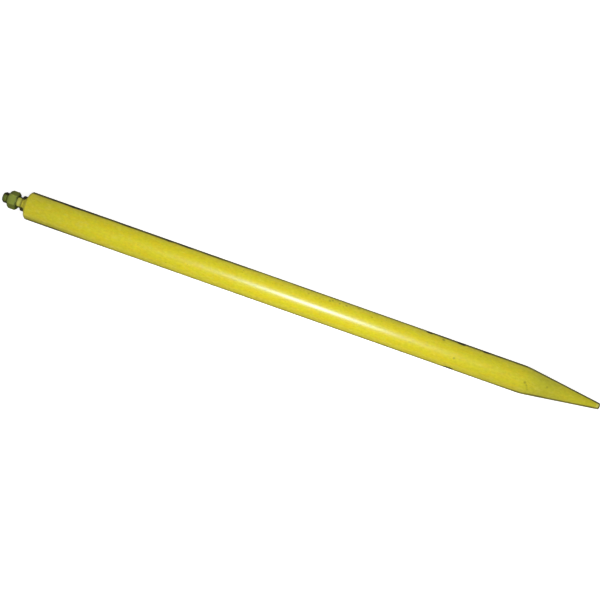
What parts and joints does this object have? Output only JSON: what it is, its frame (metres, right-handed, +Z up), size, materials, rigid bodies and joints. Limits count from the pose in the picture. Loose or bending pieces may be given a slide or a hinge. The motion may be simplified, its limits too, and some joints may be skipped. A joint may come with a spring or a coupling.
{
  "type": "bale spear",
  "caption": "Straight round steel spear with a tapered point, a square rear shoulder and a short threaded stud with a hexagon nut, for lifting bales.",
  "frame": {"origin": "centre of the annular rear shoulder of the bar, on the bar's axis", "axes": "+X along the bar towards the point, +Z up, with a flat of the nut facing up and one facing down"},
  "size_m": [0.9906, 0.045, 0.0452],
  "materials": {
    "yellow_paint": "gloss implement paint, scraped in places",
    "plated_steel": "dull yellow-passivated zinc"
  },
  "bodies": {
    "root": {"spear_bar": "yellow_paint", "hex_nut": "plated_steel"}
  },
  "joints": []
}
